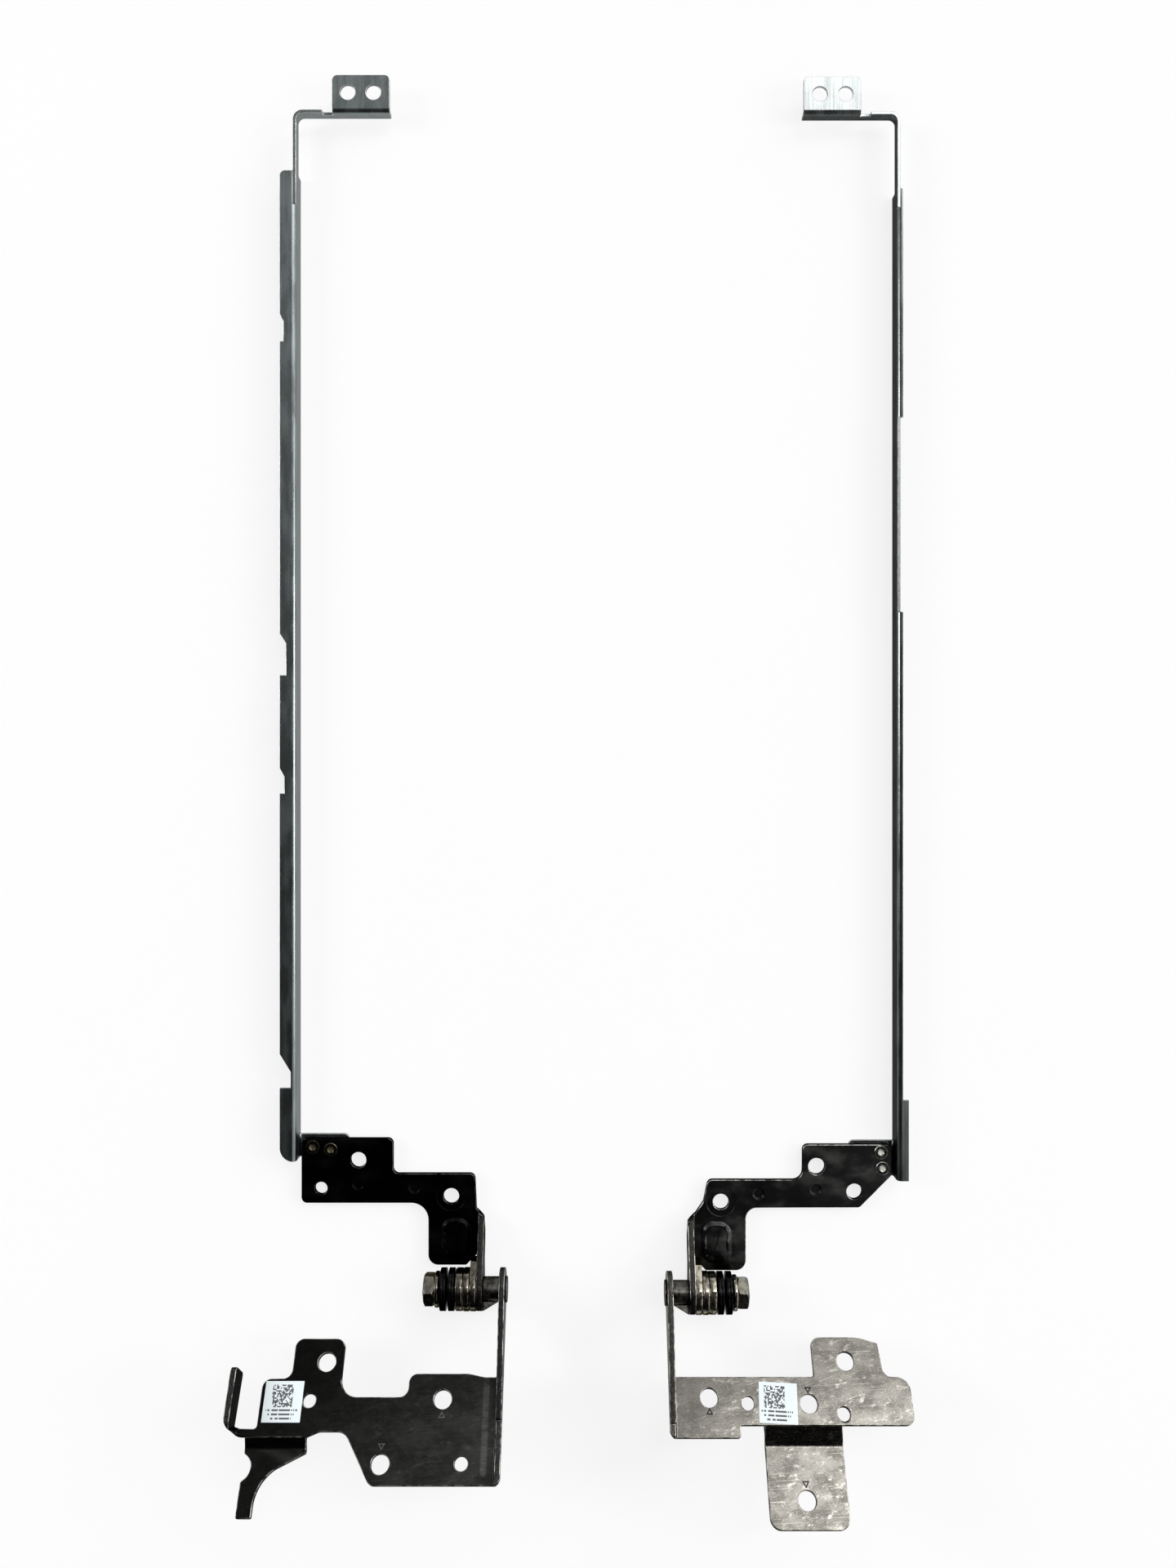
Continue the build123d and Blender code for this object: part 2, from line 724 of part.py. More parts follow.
def hex_nut(x, turn):
    """Plain hexagon nut with chamfered corners, screwed on to the given turn."""
    corner = nut_flats / 2 / math.cos(math.pi / nut_sides)
    hexagon = RegularPolygon(nut_flats / 2, nut_sides, major_radius=False, rotation=turn)
    body = along_x(hexagon, x, nut_height)
    slope = math.tan(math.radians(nut_chamfer_angle))
    depth = (corner - nut_flats / 2 + edge_break) * slope
    crown = make_face(Polyline((x, 0), (x, nut_flats / 2 - edge_break), (x + depth, corner),
                               (x + nut_height - depth, corner), (x + nut_height, nut_flats / 2 - edge_break),
                               (x + nut_height, 0), close=True))
    body = body & revolve(crown, axis=Axis.X)
    return body - along_x(Circle(shaft_diameter / 2 + keyed_gap), x, nut_height)


def eared_cam(x, hole):
    """Friction washer with an ear that lies over the lid bracket's fold."""
    disc = Circle(cam_diameter / 2 - edge_break)
    fold_top = rail_sheet + lid_sheet + lid_bend
    ear_low = fold_top + cam_ear_clearance - axis_height
    ear_end = cam_diameter / 2 + cam_ear_reach
    ear = Pos(ear_end / 2, ear_low + cam_ear_width / 2) * Rectangle(ear_end, cam_ear_width)
    cam = broken_edges(along_x(Circle(cam_diameter / 2), x, lid_cam_thickness))
    cam += along_x(make_hull(disc.edges() + ear.edges()), x, lid_cam_thickness)
    return cam - along_x(hole, x, lid_cam_thickness)


def stop_lug(x, length):
    """Tapered lug beside the collar, on the side where the lid arm's travel ends."""
    root = collar_diameter / 2 - edge_break
    profile = make_face(Polyline((x, root), (x + length, lug_radius), (x + length, root), close=True))
    return Rot(lug_direction - lug_width / 2, 0, 0) * revolve(profile, axis=Axis.X, revolution_arc=lug_width)


def hinge_stack(arm_x, nut_turn):
    """Shaft and every piece on it, from the base arm outward."""
    pieces = {}
    round_hole = Circle(shaft_diameter / 2 + running_gap)
    x = lid_arm_x(arm_x) + lid_sheet
    pieces["lid_cam"] = eared_cam(x, round_hole)
    x += lid_cam_thickness + running_gap
    key_start = x
    pieces["shaft_cam"] = washer(x, shaft_cam_thickness, cam_diameter, key_shape(keyed_gap))
    x += shaft_cam_thickness
    pieces["pressure_washer"] = washer(x, pressure_thickness, pressure_diameter, key_shape(keyed_gap))
    x += pressure_thickness
    for number in range(disc_count):
        facing = 1 if number % 2 == 0 else -1
        pieces[f"spring_disc_{number + 1}"] = spring_disc(x, facing)
        x += disc_thickness + disc_dish
    pieces["lock_washer"] = washer(x, lock_thickness, lock_diameter, key_shape(keyed_gap))
    x += lock_thickness
    pieces["nut"] = hex_nut(x, nut_turn)
    x += nut_height + shaft_end
    head = along_x(Circle(shaft_head_diameter / 2), arm_x - shaft_head_length, shaft_head_length)
    collar_x = arm_x + base_sheet
    shaft = broken_edges(head) + along_x(Circle(spigot_diameter / 2), arm_x, base_sheet)
    shaft += along_x(Circle(collar_diameter / 2), collar_x, collar_length)
    shaft += stop_lug(collar_x, collar_length)
    shank_x = collar_x + collar_length
    shaft += along_x(Circle(shaft_diameter / 2), shank_x, key_start - shank_x)
    shaft += along_x(key_shape(0), key_start, x - key_start)
    pieces["shaft"] = shaft
    return pieces


# Assembly

def hand_nodes(hand, hand_y, lid_side, base_side, stack):
    """Every node of one hand in its place, with the base side leaned up to the opening angle."""
    to_axis = Pos(0, hand_y, axis_height)
    to_pose = to_axis * Rot(open_angle - 180, 0, 0)
    solids = {name: Pos(0, hand_y, 0) * piece for name, piece in lid_side.items()}
    solids |= {name: to_pose * piece for name, piece in base_side.items()}
    for name, piece in stack.items():
        solids[name] = (to_axis if name == "lid_cam" else to_pose) * piece
    if hand == "left":
        solids = {name: mirror(piece, about=Plane.YZ) for name, piece in solids.items()}
    return {f"{hand}_{name}": piece for name, piece in solids.items()}


def main():
    lid_side = {"rail": left_rail(), "lid_bracket": left_lid_bracket(), "rail_rivets": rivets(left_rivets)}
    base_side = {"base_plate": left_base_plate(), "label": paper_label(left_label, 0)}
    stack = hinge_stack(left_arm_x, left_nut_turn)
    nodes = hand_nodes("left", left_hand_y, lid_side, base_side, stack)
    lid_side = {"rail": right_rail(), "lid_bracket": right_lid_bracket(), "rail_rivets": rivets(right_rivets)}
    base_side = {"base_plate": right_base_plate(), "label": paper_label(right_label, right_label_turn)}
    stack = hinge_stack(right_arm_x, right_nut_turn)
    nodes |= hand_nodes("right", right_hand_y, lid_side, base_side, stack)
    boxes = [piece.bounding_box() for piece in nodes.values()]
    middle_x = (min(box.min.X for box in boxes) + max(box.max.X for box in boxes)) / 2
    middle_y = (min(box.min.Y for box in boxes) + max(box.max.Y for box in boxes)) / 2
    floor_z = min(box.min.Z for box in boxes)
    to_origin = Pos(-middle_x, -middle_y, -floor_z)
    os.makedirs("parts", exist_ok=True)
    for name, piece in nodes.items():
        export_step(to_origin * piece, f"parts/{name}.step")
    print("drawn axis at y, z:", -middle_y, axis_height - floor_z, "middle x:", middle_x)


main()
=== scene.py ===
import json
import math

import bmesh
import bpy
from mathutils import Matrix, Vector
from mathutils.bvhtree import BVHTree


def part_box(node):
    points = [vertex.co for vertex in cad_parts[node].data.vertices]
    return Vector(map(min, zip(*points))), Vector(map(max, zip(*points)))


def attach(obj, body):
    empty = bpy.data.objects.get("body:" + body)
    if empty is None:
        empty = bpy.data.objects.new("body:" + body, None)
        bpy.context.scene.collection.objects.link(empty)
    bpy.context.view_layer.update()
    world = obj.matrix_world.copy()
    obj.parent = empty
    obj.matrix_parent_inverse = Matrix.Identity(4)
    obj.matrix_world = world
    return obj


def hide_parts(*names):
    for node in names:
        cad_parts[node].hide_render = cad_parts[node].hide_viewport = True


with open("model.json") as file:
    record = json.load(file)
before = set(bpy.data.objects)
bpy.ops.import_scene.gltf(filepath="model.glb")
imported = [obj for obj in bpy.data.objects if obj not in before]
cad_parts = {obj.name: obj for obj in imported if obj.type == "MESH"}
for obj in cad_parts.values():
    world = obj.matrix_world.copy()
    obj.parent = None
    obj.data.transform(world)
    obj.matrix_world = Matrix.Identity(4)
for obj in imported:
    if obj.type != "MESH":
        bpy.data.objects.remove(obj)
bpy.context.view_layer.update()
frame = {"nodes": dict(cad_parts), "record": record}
RECORD = frame["record"]
MOUNTS = {mount["name"]: mount for mount in RECORD["mounts"]}
BODIES = {node: body for body, nodes in RECORD["behaviour"]["bodies"].items() for node in nodes}
HANDS = ("left", "right")
MM = 0.001
LEVEL = Matrix.Identity(3)
UP = Vector((0, 0, 1))

# The photograph's view: straight down, close above the pair
IMAGE_HEIGHT = 1920
FOCAL_PIXELS = 1550
SENSOR = 36.0
CAMERA_PLACE = (0.00215, -0.0013157, 0.24603)
CLIP_NEAR, CLIP_FAR = 0.01, 100.0

# The base plates lean back by this angle about x when the pair lies open
BASE_LEAN = math.radians(36)
BASE_TURN = Matrix.Rotation(-BASE_LEAN, 3, "X")
BASE_NORMAL = BASE_TURN @ UP
BASE_DOWN = BASE_TURN @ Vector((0, -1, 0))

# Thickness of the sheets
RAIL_SHEET = 0.6 * MM
LID_SHEET = 1.2 * MM
BASE_SHEET = 1.1 * MM

# Rounding that shearing, pressing, bending and turning leave on the edges
RAIL_ROUNDING = 0.07 * MM
PLATE_ROUNDING = 0.14 * MM
SLOPE_ROUNDING = 0.34 * MM
STEP_ROUNDING = 0.07 * MM
DIMPLE_ROUNDING = 0.16 * MM
BEND_ROUNDING = 0.5 * MM
TURNED_ROUNDING = 0.05 * MM
RIVET_ROUNDING = 0.1 * MM
LABEL_ROUNDING = 0.02 * MM
EDGE_SEGMENTS, STEP_SEGMENTS, SLOPE_SEGMENTS = 2, 3, 4

# How edges and faces are told apart: angles between faces, and the share of a normal along another direction
SHARP_ANGLE = math.radians(30)
STEEP_ANGLE = math.radians(60)
FLAT_ANGLE = math.radians(1)
UPRIGHT_LIMIT = 0.5
FOLD_LIMIT = 0.9
LEVEL_LIMIT = 0.999
DEEP_STEP = 0.3 * MM

# Points this near are one, rays start this far inside a face, and how much large faces lead the shading
WELD = 0.0005 * MM
RAY_START = 0.001 * MM
NORMAL_WEIGHT = 60

# A face with more sheets than this behind it is sheared, if its patch is taller than this share of a sheet
SHEARED_DEPTH = 1.5
SHEARED_HEIGHT = 0.7

# The ribs pressed into the lid brackets have slightly domed tops
RIB_HEIGHT = (0.4 * MM, 0.6 * MM)
DOME_STEP = 0.4 * MM
DOME_RISES = (0.06 * MM, 0.045 * MM, 0.03 * MM, 0.015 * MM)

# Stretch of a noise's values in which most of it lies, and how softly a scratch ends at its sides
MIDDLE = (0.3, 0.7)
SCRATCH_SOFT = 0.06


class Nodes:
    """Short calls for the nodes of one tree."""

    def __init__(self, tree):
        self.tree = tree

    def node(self, kind, **settings):
        made = self.tree.nodes.new(kind)
        for key, value in settings.items():
            setattr(made, key, value)
        return made

    def feed(self, socket, value):
        """Link a socket to another one, or set it to a constant."""
        if isinstance(value, bpy.types.NodeSocket):
            self.tree.links.new(value, socket)
        else:
            socket.default_value = value

    def range(self, value, low, high, to_low=0.0, to_high=1.0):
        """Value between low and high, carried smoothly to the other two numbers."""
        mapped = self.node("ShaderNodeMapRange", interpolation_type="SMOOTHSTEP")
        for index, number in enumerate((value, low, high, to_low, to_high)):
            self.feed(mapped.inputs[index], number)
        return mapped.outputs["Result"]

    def math(self, operation, first, second=0.0):
        made = self.node("ShaderNodeMath", operation=operation)
        self.feed(made.inputs[0], first)
        self.feed(made.inputs[1], second)
        return made.outputs["Value"]

    def split(self, vector):
        """The x, y and z of a vector."""
        made = self.node("ShaderNodeSeparateXYZ")
        self.feed(made.inputs["Vector"], vector)
        return made.outputs["X"], made.outputs["Y"], made.outputs["Z"]


class Paint(Nodes):
    """One finish: a material and short calls for what the finishes share.

    Lengths are metres in the part's frame, turned so that z is the surface's normal.
    """

    def __init__(self, name, turn=LEVEL):
        self.material = bpy.data.materials.new(name)
        self.material.use_nodes = True
        super().__init__(self.material.node_tree)
        self.shader = self.tree.nodes["Principled BSDF"]
        self.turn = turn
        self.coordinates = self.node("ShaderNodeTexCoord").outputs["Object"]

    def set(self, **values):
        """Constants and linked values on the shader, named with _ for spaces."""
        for key, value in values.items():
            socket = self.shader.inputs[key.replace("_", " ").title().replace("Ior", "IOR")]
            self.feed(socket, value)

    def metal(self, colour, roughness, grazing):
        """Metal that keeps the share grazing of the light at a grazing angle."""
        tint = (grazing, grazing, grazing, 1)
        self.set(base_color=colour, metallic=1.0, roughness=roughness, specular_tint=tint)

    def place(self, size, swing=0.0, origin=(0, 0, 0)):
        """Coordinates counted in steps of size, in the turned frame swung about its normal."""
        turn = self.turn @ Matrix.Rotation(swing, 3, "Z")
        mapping = self.node("ShaderNodeMapping", vector_type="TEXTURE")
        mapping.inputs["Location"].default_value = origin
        mapping.inputs["Rotation"].default_value = turn.to_euler("XYZ")
        mapping.inputs["Scale"].default_value = size
        self.feed(mapping.inputs["Vector"], self.coordinates)
        return mapping.outputs["Vector"]

    def millimetres(self, origin=(0, 0, 0)):
        """The x, y and z from an origin, in millimetres."""
        return self.split(self.place((MM, MM, MM), 0.0, origin))

    def noise(self, size, detail=2.0, swing=0.0, roughness=0.5):
        """Noise from 0 to 1 with spots of about that size."""
        noise = self.node("ShaderNodeTexNoise")
        noise.inputs["Scale"].default_value = 1.0
        noise.inputs["Detail"].default_value = detail
        noise.inputs["Roughness"].default_value = roughness
        self.feed(noise.inputs["Vector"], self.place(size, swing))
        return noise.outputs["Fac"]

    def scratches(self, swing, length, width, share):
        """Hairline scratches: 1 on the line, 0 beside it."""
        streak = self.noise((length, width, width), 0.0, swing)
        return self.range(streak, 1 - share, 1 - share + SCRATCH_SOFT)

    def blend(self, first, second, share):
        """The first value by its share, and the second by the rest."""
        return self.math("ADD", self.math("MULTIPLY", first, share), self.math("MULTIPLY", second, 1 - share))

    def spread(self, value, roughness, steps):
        """Roughness plus two steps, as the value goes over its middle."""
        return self.range(value, *MIDDLE, roughness + steps[0], roughness + steps[1])

    def mix(self, factor, first, second):
        """Colour that goes from first to second as factor goes from 0 to 1."""
        made = self.node("ShaderNodeMix", data_type="RGBA")
        self.feed(made.inputs["Factor"], factor)
        for socket, colour in ((made.inputs[6], first), (made.inputs[7], second)):
            self.feed(socket, colour if isinstance(colour, bpy.types.NodeSocket) else (*colour, 1))
        return made.outputs[2]

    def bump(self, height, distance):
        made = self.node("ShaderNodeBump")
        made.inputs["Strength"].default_value = 1.0
        made.inputs["Distance"].default_value = distance
        self.feed(made.inputs["Height"], height)
        self.feed(self.shader.inputs["Normal"], made.outputs["Normal"])


# Zinc plating
ZINC_STREAK = dict(size=(0.25 * MM, 14 * MM, 0.25 * MM), detail=3.0)
ZINC_CLOUD = dict(size=(1.6 * MM, 6 * MM, 1.6 * MM), detail=2.0)
ZINC_GRAIN = dict(size=(0.12 * MM,) * 3, detail=1.0)
ZINC_STREAK_SHARE = 0.6
ZINC_SPREAD = (-0.04, 0.05)
ZINC_RELIEF = 0.006 * MM


def zinc(name, dark, light, grazing, roughness):
    """Zinc plated sheet: satin, with fine lengthwise rolling streaks and cloudy patches."""
    paint = Paint(name)
    streaks = paint.noise(**ZINC_STREAK)
    clouds = paint.noise(**ZINC_CLOUD)
    grain = paint.noise(**ZINC_GRAIN)
    tone = paint.blend(streaks, clouds, ZINC_STREAK_SHARE)
    colour = paint.mix(paint.range(tone, *MIDDLE), dark, light)
    paint.metal(colour, paint.spread(clouds, roughness, ZINC_SPREAD), grazing)
    paint.bump(paint.math("ADD", streaks, grain), ZINC_RELIEF)
    return paint.material


# Black oxide
OXIDE_PATCH = dict(size=(5 * MM, 3 * MM, 5 * MM), detail=3.0)
OXIDE_GRAIN = dict(size=(0.1 * MM,) * 3, detail=1.0)
OXIDE_SCRATCH = dict(swing=0.5, length=5 * MM, width=0.05 * MM, share=0.24)
OXIDE_SCRATCH_HAZE = 0.5
OXIDE_RUBBED = (0.45, 0.8)
OXIDE_ROUGHNESS = (0.24, 0.36)
OXIDE_GRAZING = 0.15
OXIDE_RELIEF = 0.003 * MM


def black_oxide(name, tone, haze):
    """Black oxide over smooth steel: deep black, with rubbed hazy patches and a fine grain."""
    paint = Paint(name)
    paler_patch = paint.noise(**OXIDE_PATCH)
    grain = paint.noise(**OXIDE_GRAIN)
    lines = paint.math("MULTIPLY", paint.scratches(**OXIDE_SCRATCH), OXIDE_SCRATCH_HAZE)
    colour = paint.mix(paint.range(paler_patch, *OXIDE_RUBBED), tone, haze)
    colour = paint.mix(lines, colour, haze)
    paint.metal(colour, paint.range(paler_patch, *MIDDLE, *OXIDE_ROUGHNESS), OXIDE_GRAZING)
    paint.bump(grain, OXIDE_RELIEF)
    return paint.material


# Plating of the base plates: its marks, and the stretches of their values over which they show
BASE_CLOUD = dict(size=(4 * MM, 3 * MM, 4 * MM), detail=5.0, roughness=0.62)
BASE_SMUDGE = dict(size=(1.8 * MM, 0.9 * MM, 1.8 * MM), detail=4.0, swing=0.3, roughness=0.62)
BASE_SPECK = dict(size=(0.35 * MM, 0.22 * MM, 0.35 * MM), detail=3.0, roughness=0.7)
BASE_STREAK = dict(size=(9 * MM, 0.12 * MM, 0.12 * MM), detail=2.0)
BASE_SCRATCHES = [
    dict(swing=0.35, length=6 * MM, width=0.06 * MM, share=0.28),
    dict(swing=-0.9, length=4 * MM, width=0.05 * MM, share=0.27),
    dict(swing=0.05, length=9 * MM, width=0.05 * MM, share=0.31),
]
BASE_CLOUDED = (0.36, 0.64)
BASE_SMUDGED = (0.56, 0.72)
BASE_SPECKED = (0.58, 0.74)
BASE_SPREAD = (-0.06, 0.07)
BASE_GRAZING = 0.3
BASE_STREAK_SHARE = 0.5
BASE_RELIEF = 0.006 * MM

# Lighter band of painted sheen down a base plate: its sides in millimetres from its middle, and how the marks
# break it up
SHEEN_BAND_SIDES = (0.3, 0.8)
SHEEN_BAND_CLOUDED = (0.34, 0.6)
SHEEN_BAND_STREAKED = (0.2, 0.7)
SHEEN_BAND_LEAST = 0.4

# Painted shade makes the base plates darker towards their upper edge and their left end: millimetres, and how
# much
SHADE_UP = (-107, -92)
SHADE_LEFT = {"left": (-58, -20), "right": (12, 44)}
SHADE_UP_SHARE = 0.55
SHADE_LEFT_SHARE = 0.72


def base_steel(name, painted_shade, deep, plain, bright, roughness, scuffs, ends, sheen_band=None):
    """Sheet of a base plate: cloudy plating, crossed hairlines and small rubbed spots.

    Painted shade mixes it with a darker colour towards its upper edge and its left end.
    ends are the shaded and the plain end, and the last argument is the middle of a lighter band
    of painted sheen that runs down the plate, in millimetres along x.
    """
    paint = Paint(name, BASE_TURN)
    clouds = paint.noise(**BASE_CLOUD)
    smudges = paint.noise(**BASE_SMUDGE)
    specks = paint.noise(**BASE_SPECK)
    streaks = paint.noise(**BASE_STREAK)
    across, up, _ = paint.millimetres()
    lines = 0.0
    for scratch in BASE_SCRATCHES:
        lines = paint.math("MAXIMUM", lines, paint.scratches(**scratch))
    spots = paint.math("MAXIMUM", paint.range(smudges, *BASE_SMUDGED), paint.range(specks, *BASE_SPECKED))
    colour = paint.mix(paint.range(clouds, *BASE_CLOUDED), deep, plain)
    for marks in (spots, lines):
        colour = paint.mix(paint.math("MULTIPLY", marks, scuffs), colour, bright)
    # Painted sheen: a lighter band down the plate, broken up by the clouds and streaks
    if sheen_band:
        aside = paint.math("ABSOLUTE", paint.math("SUBTRACT", across, sheen_band))
        paler_patch = paint.range(aside, *SHEEN_BAND_SIDES, 1.0, 0.0)
        paler_patch = paint.math("MULTIPLY", paler_patch, paint.range(clouds, *SHEEN_BAND_CLOUDED))
        paler_patch = paint.math("MULTIPLY", paler_patch, paint.range(streaks, *SHEEN_BAND_STREAKED, SHEEN_BAND_LEAST, 1.0))
        colour = paint.mix(paler_patch, colour, bright)
    # Painted shade: darker towards the upper edge and the left end
    colour = paint.mix(paint.range(up, *SHADE_UP, 0.0, SHADE_UP_SHARE), colour, painted_shade)
    colour = paint.mix(paint.range(across, *ends, SHADE_LEFT_SHARE, 0.0), colour, painted_shade)
    paint.metal(colour, paint.spread(specks, roughness, BASE_SPREAD), BASE_GRAZING)
    height = paint.math("SUBTRACT", paint.math("ADD", specks, smudges), lines)
    height = paint.math("ADD", height, paint.math("MULTIPLY", streaks, BASE_STREAK_SHARE))
    paint.bump(height, BASE_RELIEF * scuffs)
    return paint.material


# Sheared edges
CUT_MARK = dict(size=(0.15 * MM, 0.15 * MM, 1.5 * MM), detail=2.0)
CUT_SPECK = dict(size=(0.3 * MM,) * 3, detail=3.0, roughness=0.65)
CUT_MARK_SHARE = 0.5
CUT_MARKED = (0.32, 0.66)
CUT_SPREAD = (0.0, 0.15)
CUT_GRAZING = 0.3
CUT_RELIEF = 0.012 * MM


def cut_edge(name, dark, light, roughness):
    """Sheared edge of a sheet: short marks across the thickness, and speckles."""
    paint = Paint(name)
    marks = paint.noise(**CUT_MARK)
    specks = paint.noise(**CUT_SPECK)
    tone = paint.blend(marks, specks, CUT_MARK_SHARE)
    colour = paint.mix(paint.range(tone, *CUT_MARKED), dark, light)
    paint.metal(colour, paint.spread(specks, roughness, CUT_SPREAD), CUT_GRAZING)
    paint.bump(tone, CUT_RELIEF)
    return paint.material


# Rounded edges: rubbed wear, in a lighter colour that also paints a highlight along them
WORN_STRETCH = dict(size=(1.8 * MM,) * 3, detail=4.0, roughness=0.6)
WORN_THROUGH = (0.38, 0.62)
WORN_ROUGHNESS = (0.24, 0.36)
WORN_GRAZING = 0.4
WORN_RELIEF = 0.004 * MM


def worn_edge_and_highlight(name, dark, light):
    """Rounded edge of a sheet: coating rubbed thin in stretches, in a lighter colour that also paints a
    highlight along the edge.
    """
    paint = Paint(name)
    wear = paint.noise(**WORN_STRETCH)
    colour = paint.mix(paint.range(wear, *WORN_THROUGH), dark, light)
    paint.metal(colour, paint.range(wear, *MIDDLE, *WORN_ROUGHNESS), WORN_GRAZING)
    paint.bump(wear, WORN_RELIEF)
    return paint.material


# Turned steel
TURNED_RING = dict(size=(0.05 * MM, 6 * MM, 6 * MM), detail=2.0)
TURNED_OIL = dict(size=(0.8 * MM, 1.2 * MM, 1.2 * MM), detail=3.0, roughness=0.6)
OILED = (0.4, 0.65)
TURNED_SPREAD = (0.06, 0.0)
TURNED_GRAZING = 0.2
TURNED_RELIEF = 0.004 * MM


def turned(name, dark, light, roughness):
    """Turned or ground steel: fine rings round the shaft, with a trace of oil in patches."""
    paint = Paint(name)
    rings = paint.noise(**TURNED_RING)
    oil = paint.noise(**TURNED_OIL)
    colour = paint.mix(paint.range(oil, *OILED), light, dark)
    paint.metal(colour, paint.spread(oil, roughness, TURNED_SPREAD), TURNED_GRAZING)
    paint.bump(rings, TURNED_RELIEF)
    return paint.material


# Rivets, with the edge of the dimple in millimetres from the top of the head
RIVET_OIL = dict(size=(0.4 * MM,) * 3, detail=3.0, roughness=0.6)
DIMPLE_EDGE = (-0.25, -0.12)
DIMPLE_OILED = (0.55, 0.7)
DIMPLE_ROUGHNESS = 0.75
RIVET_ROUGHNESS = 0.28
RIVET_GRAZING = 0.2
RIVET_RELIEF = 0.02 * MM


def rivet_head(name, top, dark, light, dimple):
    """Staked rivet that ends at the height top: a darkened head, with a painted highlight in its dimple."""
    paint = Paint(name)
    oil = paint.noise(**RIVET_OIL)
    _, _, height = paint.millimetres((0, 0, top))
    head = paint.mix(paint.range(oil, *OILED), dark, light)
    # Painted highlight in the dimple
    dimple_highlight = paint.mix(paint.range(oil, *DIMPLE_OILED), dimple, light)
    colour = paint.mix(paint.range(height, *DIMPLE_EDGE), dimple_highlight, head)
    roughness = paint.range(height, *DIMPLE_EDGE, DIMPLE_ROUGHNESS, RIVET_ROUGHNESS)
    paint.metal(colour, roughness, RIVET_GRAZING)
    paint.bump(oil, RIVET_RELIEF)
    return paint.material


# Labels: the film, and its print in millimetres from the label's middle
LABEL_ASKEW = {"left": 0.0, "right": math.radians(-3)}
LABEL_SHIFT = {"left": -0.2, "right": -0.67}
LABEL_BLOCK = 3.85
LABEL_BLOCK_UP = 0.97
LABEL_CELL = 0.24
LABEL_CELL_SHARE = 0.55
LABEL_ROWS = [(-1.45, 2.9), (-2.15, 2.5), (-2.85, 1.9)]
LABEL_ROW_HEIGHT = 0.32
LABEL_ROW_SHIFT = 1 / 3
LABEL_DASH = (0.19, 4 * LABEL_ROW_HEIGHT)
LABEL_DASH_SHARE = 0.78
LABEL_INK = (0.03, 0.03, 0.035)
LABEL_INK_COVER = 0.93
LABEL_PAPER = ((0.63, 0.69, 0.71), (0.71, 0.77, 0.79))
LABEL_FIBRE = dict(size=(0.2 * MM,) * 3, detail=3.0)
LABEL_FIBRED = (0.2, 0.8)
LABEL_ROUGHNESS = (0.45, 0.6)
LABEL_RELIEF = 0.004 * MM


def label_film(name, node, turn, shift):
    """White film with a generic print: a block of random cells and three rows of dashes."""
    low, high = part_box(node)
    paint = Paint(name, turn)
    across, up, _ = paint.millimetres((low + high) / 2)

    def cells(width, height):
        """Random number for each cell of a grid, in millimetres."""
        grid = paint.node("ShaderNodeCombineXYZ")
        paint.feed(grid.inputs["X"], paint.math("FLOOR", paint.math("DIVIDE", across, width)))
        paint.feed(grid.inputs["Y"], paint.math("FLOOR", paint.math("DIVIDE", up, height)))
        random = paint.node("ShaderNodeTexWhiteNoise", noise_dimensions="2D")
        paint.feed(random.inputs["Vector"], grid.outputs["Vector"])
        return random.outputs["Value"]

    def inside(value, centre, half):
        """1 where the value is at most half from the centre, 0 elsewhere."""
        return paint.math("LESS_THAN", paint.math("ABSOLUTE", paint.math("SUBTRACT", value, centre)), half)

    def printed(field_across, field_up, cell, share):
        """Ink in a share of the cells of a field."""
        field = paint.math("MULTIPLY", field_across, field_up)
        return paint.math("MULTIPLY", field, paint.math("LESS_THAN", cells(*cell), share))

    half = LABEL_BLOCK / 2
    ink = printed(inside(across, shift, half), inside(up, LABEL_BLOCK_UP, half),
                  (LABEL_CELL, LABEL_CELL), LABEL_CELL_SHARE)
    for place, half in LABEL_ROWS:
        row = printed(inside(across, shift * LABEL_ROW_SHIFT, half), inside(up, place, LABEL_ROW_HEIGHT / 2),
                      LABEL_DASH, LABEL_DASH_SHARE)
        ink = paint.math("MAXIMUM", ink, row)
    fibre = paint.noise(**LABEL_FIBRE)
    paper = paint.mix(fibre, *LABEL_PAPER)
    colour = paint.mix(paint.math("MULTIPLY", ink, LABEL_INK_COVER), paper, LABEL_INK)
    paint.set(base_color=colour, roughness=paint.range(fibre, *LABEL_FIBRED, *LABEL_ROUGHNESS))
    paint.bump(fibre, LABEL_RELIEF)
    return paint.material


# Materials of a finished piece, in the order of its paints. The fourth is a darker copy of the first, for
# painted shade
FACE, SHEARED, ROUNDED, SHADED_FACE = range(4)


def cad_shape(node, turn):
    """Copy of a CAD node's shape, swung about its middle along x."""
    shape = bmesh.new()
    shape.from_mesh(frame["nodes"][node].data)
    if turn:
        middle = sum(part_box(node), Vector()) / 2
        bmesh.ops.rotate(shape, verts=shape.verts, cent=middle, matrix=Matrix.Rotation(turn, 3, "X"))
    bmesh.ops.remove_doubles(shape, verts=shape.verts, dist=WELD)
    shape.normal_update()
    for face in shape.faces:
        face.material_index = FACE
    return shape


